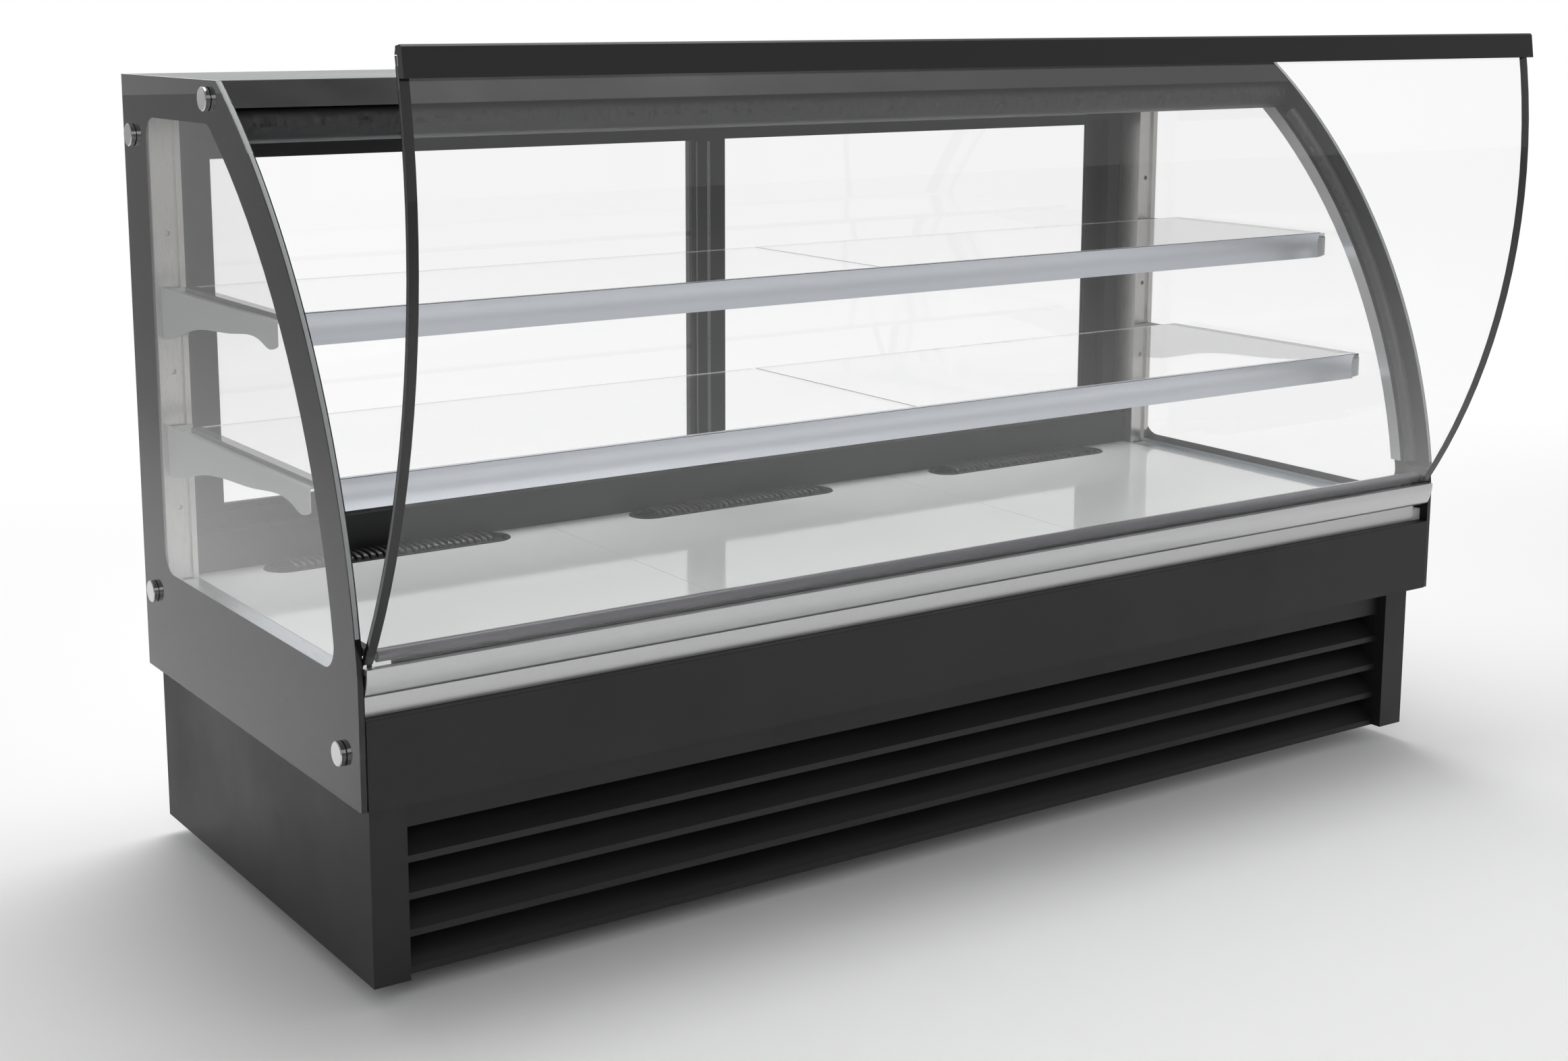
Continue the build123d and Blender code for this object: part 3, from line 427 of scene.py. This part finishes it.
# All the clear glass: side panes, front glass, shelves and rear doors.
# Float glass, toughened, with polished edges: clear and nearly without colour,
# with a very thin film of handling haze. Lamps shine through it without a hard shadow.
HAZE_PER_METRE = 6.0
HAZE_RANGE = (0.45, 0.75)
HAZE_ROUGHNESS = 0.012
SHADOW_TINT = "#f8faf9"


def float_glass(name, tint, roughness):
    """Clear float glass, with shadow rays let through as thin glass does."""
    finish, tree, shader = new_finish(name)
    haze = add_node(tree, "ShaderNodeTexNoise", {"Scale": HAZE_PER_METRE, "Detail": 3.0},
                    {"Vector": own_space(tree)})
    film = ramp(tree, haze.outputs["Fac"], HAZE_RANGE, (roughness, roughness + HAZE_ROUGHNESS))
    feed(tree, shader, {"Roughness": film})
    shader.inputs["Base Color"].default_value = linear(tint)
    shader.inputs["IOR"].default_value = 1.52
    shader.inputs["Transmission Weight"].default_value = 1.0
    ray = add_node(tree, "ShaderNodeLightPath", {})
    clear = add_node(tree, "ShaderNodeBsdfTransparent", {"Color": linear(SHADOW_TINT)})
    mix = add_node(tree, "ShaderNodeMixShader", {}, {"Fac": ray.outputs["Is Shadow Ray"],
                                                     1: shader.outputs["BSDF"], 2: clear.outputs["BSDF"]})
    feed(tree, tree.nodes["Material Output"], {"Surface": mix.outputs["Shader"]})
    return finish


CLEAR_GLASS = float_glass("toughened_float_glass", "#fefefe", roughness=0.0)
for name in ("side_glass_left", "side_glass_right", "front_glass", "shelf_upper", "shelf_lower",
             "door_left_glass", "door_right_glass"):
    finish_node(name, CLEAR_GLASS)


# Printed borders on the side panes and the front glass.
# Black ceramic frit fired into the inner face, so its outer skin lies just inside
# the glass: only the pane's outer face reflects over it, and it reads deep grey.
FRIT = coated("fired_black_frit", "#0c0c0d", "#101011", roughness=0.3, grain=2.0, relief=0.002, ior=1.52,
              gloss=0.2)
FUSED_DEPTH = 0.3 * MM
for name in ("side_enamel", "glass_borders"):
    finish_node(name, FRIT)
    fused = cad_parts[name].modifiers.new("fused", "DISPLACE")
    fused.strength = FUSED_DEPTH
    fused.mid_level = 0.0


# Glass fixings. Turned stainless steel knobs, polished to a sharp bright shine,
# that clamp the side panes to the body through four holes.
POLISHED = brushed("polished_turned_steel", "#d6d6d7", "#c9c9ca", roughness=0.14, line=0.8, along=X)
finish_node("glass_fixings", POLISHED)


# Arch gaskets and top gasket. A soft matt black rubber bulb pushed into the arch
# channel; it gathers as it follows the curve, so it stands in small ridges.
GASKET_RUBBER = coated("black_sponge_rubber", "#2d2d2f", "#38383a", roughness=0.5, grain=1.6, relief=0.12)
ARC_CENTRE_Y = 699 * MM
ARC_CENTRE_Z = 360 * MM
GASKET_R0 = 971 * MM
GASKET_R1 = 994 * MM
GASKET_DEPTH = 13 * MM
RIDGE_PITCH = 9.0 * MM
RIDGE_STEP = 2.1 * MM
ARCH_FIT = 0.985
TOP_FIT = 0.98
TOP_STEP = RIDGE_STEP * 1.2
BULB_POINTS = 14
# the lumps: their size across the bulb, how strong they are, and which noise they use
LUMP_ACROSS, LUMP_GAIN, LUMP_SEED = 1.6, 1.7, 3.0
FINE_ALONG, FINE_ACROSS, FINE_GAIN, FINE_SEED = 2.3, 3.0, 0.9, 9.0
GATHER_WIDTH = 0.22
SWELL_MEAN, SWELL_GATHER = 0.86, 0.14
FOOT_SHARE, BULB_SHARE, BULB_ROUNDING = 0.14, 0.86, 0.7


def bulb_section(width, depth, run):
    """Half-oval section from one edge of the foot to the other: (across, out). The bulb
    gathers in lumps of about one pitch, so its height changes along and across it."""
    made = []
    for k in range(BULB_POINTS):
        a = math.pi * k / (BULB_POINTS - 1)
        across = -0.5 * width * math.cos(a)
        lump = noise.noise(Vector((run / RIDGE_PITCH, across / RIDGE_PITCH * LUMP_ACROSS, LUMP_SEED)))
        fine = noise.noise(Vector((run / RIDGE_PITCH * FINE_ALONG, across / RIDGE_PITCH * FINE_ACROSS,
                                   FINE_SEED)))
        gather = math.exp(-(across / (GATHER_WIDTH * width)) ** 2)
        bunched = max(-1.0, min(1.0, LUMP_GAIN * lump + FINE_GAIN * fine))
        swell = SWELL_MEAN + SWELL_GATHER * gather * bunched
        rounding = max(0.0, math.sin(a)) ** BULB_ROUNDING
        made.append((across, depth * (FOOT_SHARE + BULB_SHARE * rounding * swell)))
    return [(-0.5 * width, 0.0)] + made + [(0.5 * width, 0.0)]


def sweep(name, rings, finish, body):
    """A skin over rings of points, capped at both ends, that rides on a body."""
    faces = tube_faces(0, len(rings[0]), len(rings))
    return skin(name, [p for ring in rings for p in ring], faces, finish, body)


gasket_low, gasket_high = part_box("arch_gaskets")
start_turn = math.asin((gasket_low.z - ARC_CENTRE_Z) / GASKET_R0)
end_turn = math.asin((gasket_high.z - ARC_CENTRE_Z) / GASKET_R1)
mid_radius = (GASKET_R0 + GASKET_R1) / 2
steps = int((end_turn - start_turn) * GASKET_R0 / RIDGE_STEP)
for side, mark in ((-1, "left"), (1, "right")):
    rings = []
    for i in range(steps + 1):
        turn = start_turn + (end_turn - start_turn) * i / steps
        section = bulb_section((GASKET_R1 - GASKET_R0) * ARCH_FIT, GASKET_DEPTH, i * RIDGE_STEP + side)
        rings.append([(side * (gasket_high.x - out), ARC_CENTRE_Y - (mid_radius + across) * math.cos(turn),
                       ARC_CENTRE_Z + (mid_radius + across) * math.sin(turn)) for across, out in section])
    strip = sweep("arch_gasket_%s" % mark, rings, GASKET_RUBBER, "case")
    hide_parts("arch_gaskets")

top_low, top_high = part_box("top_gasket")
top_height = (top_high.z - top_low.z) * TOP_FIT
top_depth = (top_high.y - top_low.y) * TOP_FIT
steps = int((top_high.x - top_low.x) / TOP_STEP)
rings = []
for i in range(steps + 1):
    x = top_low.x + (top_high.x - top_low.x) * i / steps
    rings.append([(x, top_high.y - out, (top_low.z + top_high.z) / 2 + across)
                  for across, out in bulb_section(top_height, top_depth, x)])
strip = sweep("top_gasket_roll", rings, GASKET_RUBBER, "case")
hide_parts("top_gasket")


# Ground edges of the side panes. The sawn edge is ground flat with a fine belt,
# so the curved front edge scatters light and reads as a pale grey line.
GROUND_EDGE = coated("ground_glass_edge", "#8d9091", "#9a9d9e", roughness=0.6, grain=0.8, relief=0.01, ior=1.52)
PANE_R = 1018 * MM
PANE_EDGE_STEPS = 60
EDGE_HALF = 2.9 * MM
EDGE_FLAT = EDGE_HALF * 0.8
EDGE_PROUD = 0.25 * MM
EDGE_SIDE_PROUD = 0.02 * MM
EDGE_FOOT_PROUD = 0.01 * MM
EDGE_START_INSET = 5 * MM
EDGE_END_INSET = 1 * MM
EDGE_SECTION = ((-EDGE_HALF, EDGE_SIDE_PROUD), (-EDGE_FLAT, EDGE_PROUD), (EDGE_FLAT, EDGE_PROUD),
                (EDGE_HALF, EDGE_SIDE_PROUD), (0, EDGE_FOOT_PROUD))

pane_low, pane_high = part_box("side_glass_left")
pane_mid = (pane_low.x + pane_high.x) / 2
edge_start = math.asin((gasket_low.z + EDGE_START_INSET - ARC_CENTRE_Z) / PANE_R)
edge_end = math.asin((pane_high.z - EDGE_END_INSET - ARC_CENTRE_Z) / PANE_R)
for side, mark in ((-1, "left"), (1, "right")):
    rings = []
    for i in range(PANE_EDGE_STEPS + 1):
        turn = edge_start + (edge_end - edge_start) * i / PANE_EDGE_STEPS
        rings.append([(-side * pane_mid + across, ARC_CENTRE_Y - (PANE_R + out) * math.cos(turn),
                       ARC_CENTRE_Z + (PANE_R + out) * math.sin(turn)) for across, out in EDGE_SECTION])
    sweep("ground_edge_%s" % mark, rings, GROUND_EDGE, "case")


# Beads. Slim raised lines rolled on the aluminium extrusions, which catch a thin
# streak of light: on the rear frame head, along the foot of the top gasket, and
# down the meeting stile of the left door. Their mid grey, lighter than the black
# parts under them, is a painted highlight along each line.
BEAD_HIGHLIGHT_METAL = brushed("bead_painted_highlight_aluminium", "#77797b", "#6c6e70", roughness=0.3, line=0.6, along=X,
                     metallic=0.85)
BEAD_SIDES = 8
FORWARD = (0, -1, 0)
FORWARD_DOWN = (0, -0.6, -0.8)
HEAD_BEAD_INSET = 0.06
HEAD_BEAD_HEIGHT = 12 * MM
FOOT_BEAD_INSET = 6 * MM
MEETING_STILE = 64 * MM
STILE_BEAD_INSET = 24 * MM


def bead(name, start, end, out, half, proud, finish, body):
    """A half-round bar from start to end that stands proud towards out, with sizes in mm."""
    start, end, out = Vector(start), Vector(end), Vector(out)
    across = (end - start).normalized().cross(out)
    rings = []
    for point in (start, end):
        turns = [math.pi * k / BEAD_SIDES for k in range(BEAD_SIDES + 1)]
        rings.append([point + across * (half * MM * math.cos(a)) + out * (proud * MM * math.sin(a))
                      for a in turns])
    return sweep(name, rings, finish, body)


head_low, head_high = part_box("rear_frame_head")
head_z = head_low.z + HEAD_BEAD_HEIGHT
bead("rear_head_bead", (head_low.x + HEAD_BEAD_INSET, head_low.y, head_z),
     (head_high.x - HEAD_BEAD_INSET, head_low.y, head_z), FORWARD, 1.6, 1.2,
     BEAD_HIGHLIGHT_METAL, "case")
foot_y = top_high.y - FOOT_BEAD_INSET
bead("gasket_foot_bead", (top_low.x, foot_y, top_low.z), (top_high.x, foot_y, top_low.z), FORWARD_DOWN,
     2.2, 1.6, BEAD_HIGHLIGHT_METAL, "case")
leaf_low, leaf_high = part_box("door_left_frame")
for name, share, half, proud in (("meeting_stile_bead", 0.52, 3.2, 1.2), ("stile_edge_bead", 0.9, 1.4, 0.9)):
    stile_x = leaf_high.x - share * MEETING_STILE
    bead(name, (stile_x, leaf_low.y, leaf_low.z + STILE_BEAD_INSET),
         (stile_x, leaf_low.y, leaf_high.z - STILE_BEAD_INSET), FORWARD, half, proud,
         BEAD_HIGHLIGHT_METAL, "door_left")


# Canopy beam. Folded steel in a matt black powder coat, which keeps lamp glare
# off the glass behind it.
MATT_BLACK = coated("matt_black_powder_coat", "#0a0a0b", "#0e0e0f", roughness=0.62, grain=1.6, relief=0.05,
                    gloss=0.14)
finish_node("canopy_beam", MATT_BLACK, edge=0.5)


# Header seal. Black rubber lip, matt, pressed into the header rail, which meets
# the canopy when the glass is shut.
LIP_RUBBER = coated("black_lip_rubber", "#1a1a1b", "#202021", roughness=0.5, grain=1.0, relief=0.03)
finish_node("header_seal", LIP_RUBBER, edge=0.4)


# Top panel. Folded steel in a grey satin powder coat, which takes one broad soft
# reflection of the sky. It lies on the canopy.
ROOF_GREY = coated("light_grey_powder_coat", "#5f6162", "#676969", roughness=0.42, grain=1.6, relief=0.04,
                   gloss=0.3)
finish_node("top_panel", ROOF_GREY, edge=0.6)


# Lamp diffuser. Opal acrylic over the lamp strip under the canopy, milky white
# with a smooth skin. The lamp is off.
OPAL = coated("opal_acrylic", "#ececea", "#e4e4e2", roughness=0.25, grain=4.0, relief=0.01, ior=1.49)
finish_node("lamp_diffuser", OPAL)


# Shelf uprights. Clear anodised aluminium posts with a shallow channel and
# holes for the shelf hooks, brushed along their height.
UPRIGHT_METAL = brushed("anodised_aluminium_post", "#d8d6d4", "#c9c7c5", roughness=0.3, line=0.6, along=Z)
finish_node("uprights", UPRIGHT_METAL, edge=0.5)


# Shelf brackets. Pressed steel, 2.5 mm, in a light grey satin powder coat that
# stays pale and even against the glass. They hook into the uprights.
BRACKET_GREY = coated("bracket_grey_powder_coat", "#b3b4b5", "#bbbcbd", roughness=0.42, grain=1.4, relief=0.04)
for name in ("brackets_upper", "brackets_lower"):
    finish_node(name, BRACKET_GREY, edge=0.5)


# Price rails. Clear anodised aluminium extrusions with a hollow front face
# that takes price strips; they clip on the front edge of the shelf glass.
RAIL_METAL = brushed("price_rail_aluminium", "#e0e4ea", "#d4d8df", roughness=0.38, line=0.5, along=X)
for name in ("rail_upper", "rail_lower"):
    finish_node(name, RAIL_METAL)


# Rail inserts. A soft black strip pressed between the rail's lip and the glass,
# which shows as a thin dark line over the rail.
UPWARD = (0, 0, 1)
LIP_BAND = 0.2 * MM
INSERT_END_INSET = 1 * MM
INSERT_BEHIND_LIP = 0.9 * MM
for name, mark in (("rail_upper", "upper"), ("rail_lower", "lower")):
    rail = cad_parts[name]
    lip_z = max(v.co.z for v in rail.data.vertices)
    insert_y = min(v.co.y for v in rail.data.vertices if v.co.z > lip_z - LIP_BAND) + INSERT_BEHIND_LIP
    low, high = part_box(name)
    bead("rail_insert_" + mark, (low.x + INSERT_END_INSET, insert_y, lip_z),
         (high.x - INSERT_END_INSET, insert_y, lip_z), UPWARD, 0.9, 0.8, LIP_RUBBER, "case")


# Studio floor. Matt white background paper. Towards the back, except at the far
# left, it glows white: painted light, as from a lamp at the right rear, so it fades
# into the light of the sky and no horizon shows behind the case in the photograph's view.
FLOOR_HALF = 30.0
PAPER_WHITE = "#e6e6e6"
BACKWARD, BACK_FADE = (0.35, 0.94, 0.0), (-0.4, 3.0)
RIGHTWARD, LEFT_FADE = (1.0, -0.2, 0.0), (-3.2, -1.5)


def fade_along(tree, axis, span):
    """A value that goes softly from 0 to 1 over a span in metres along an axis."""
    reach = add_node(tree, "ShaderNodeVectorMath", {"operation": "DOT_PRODUCT"}, {0: own_space(tree)})
    reach.inputs[1].default_value = axis
    return ramp(tree, reach.outputs["Value"], span, (0.0, 1.0), "SMOOTHSTEP")


def times(tree, first, second):
    """The product of two values."""
    return add_node(tree, "ShaderNodeMath", {"operation": "MULTIPLY"}, {0: first, 1: second}).outputs["Value"]


floor_mesh = bpy.data.meshes.new("studio_floor")
floor_mesh.from_pydata([(-FLOOR_HALF, -FLOOR_HALF, 0), (FLOOR_HALF, -FLOOR_HALF, 0),
                        (FLOOR_HALF, FLOOR_HALF, 0), (-FLOOR_HALF, FLOOR_HALF, 0)], [], [(0, 1, 2, 3)])
floor = bpy.data.objects.new("studio_floor", floor_mesh)
bpy.context.scene.collection.objects.link(floor)
paper, paper_tree, paper_shader = new_finish("studio_paper")
paper_shader.inputs["Base Color"].default_value = linear(PAPER_WHITE)
paper_shader.inputs["Roughness"].default_value = 0.9
paper_shader.inputs["Specular IOR Level"].default_value = 0.1
# how much the paper glows: painted light, strongest at the back right
painted_light_share = times(paper_tree, fade_along(paper_tree, BACKWARD, BACK_FADE),
             fade_along(paper_tree, RIGHTWARD, LEFT_FADE))
# the glow is painted light on the paper, standing in for a lamp
painted_light_glow = add_node(paper_tree, "ShaderNodeEmission", {"Strength": 1.0})
backdrop = add_node(paper_tree, "ShaderNodeMixShader", {},
                    {"Fac": painted_light_share, 1: paper_shader.outputs["BSDF"], 2: painted_light_glow.outputs["Emission"]})
feed(paper_tree, paper_tree.nodes["Material Output"], {"Surface": backdrop.outputs["Shader"]})
floor_mesh.materials.append(paper)
floor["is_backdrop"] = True


# Studio sky. White and even behind the case, darker towards the front, the left
# and overhead, so the panes and dark panels have something dim to reflect.
SKY_BACK, SKY_BACK_LIGHT = (-0.5, 0.6), (0.62, 1.0)
SKY_UP, SKY_UP_LIGHT = (0.1, 1.0), (1.0, 0.7)
SKY_RIGHT, SKY_RIGHT_LIGHT = (-0.5, 0.1), (0.55, 1.0)

world = bpy.data.worlds.new("studio_sky")
world.use_nodes = True
sky = world.node_tree
gaze = add_node(sky, "ShaderNodeTexCoord", {})
parts = add_node(sky, "ShaderNodeSeparateXYZ", {}, {"Vector": gaze.outputs["Generated"]})
brightness = times(sky, ramp(sky, parts.outputs["Y"], SKY_BACK, SKY_BACK_LIGHT),
                   ramp(sky, parts.outputs["Z"], SKY_UP, SKY_UP_LIGHT))
brightness = times(sky, brightness, ramp(sky, parts.outputs["X"], SKY_RIGHT, SKY_RIGHT_LIGHT))
sky.nodes["Background"].inputs["Color"].default_value = (1, 1, 1, 1)
feed(sky, sky.nodes["Background"], {"Strength": brightness})
bpy.context.scene.world = world


# Lamps. Two broad square soft lamps: the main one over and behind the case, a
# weak one at the front left that opens the dark panels. Sizes in metres, watts.
LAMP_AIM = (0.0, 0.0, 0.6)
for name, place, size, power in (("lamp_over", (0.4, 1.2, 3.6), 3.0, 130),
                                 ("lamp_front_left", (-3.4, -3.6, 2.6), 2.5, 40)):
    lamp = bpy.data.lights.new(name, "AREA")
    lamp.shape = "SQUARE"
    lamp.size = size
    lamp.energy = power
    holder = bpy.data.objects.new(name, lamp)
    holder.location = place
    holder.rotation_euler = (Vector(LAMP_AIM) - Vector(place)).to_track_quat("-Z", "Y").to_euler()
    bpy.context.scene.collection.objects.link(holder)


# Camera. Fitted to the photograph: 51 mm lens on a 36 mm frame, 10 degrees down,
# with a small shift because the photograph is cropped off its own centre.
LOOK_DOWN = 10.10
LOOK_RIGHT = 33.79
camera = bpy.data.cameras.new("camera")
camera.lens = 51.09
camera.sensor_width = 36.0
camera.shift_x = 0.02287
camera.shift_y = -0.0801
camera.clip_end = 200.0
eye = bpy.data.objects.new("camera", camera)
eye.location = (-2.0700, -2.7813, 1.2684)
eye.rotation_euler = (math.radians(90 - LOOK_DOWN), 0, math.radians(-LOOK_RIGHT))
bpy.context.scene.collection.objects.link(eye)
bpy.context.scene.camera = eye
bpy.context.scene.view_settings.view_transform = "Standard"

low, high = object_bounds()
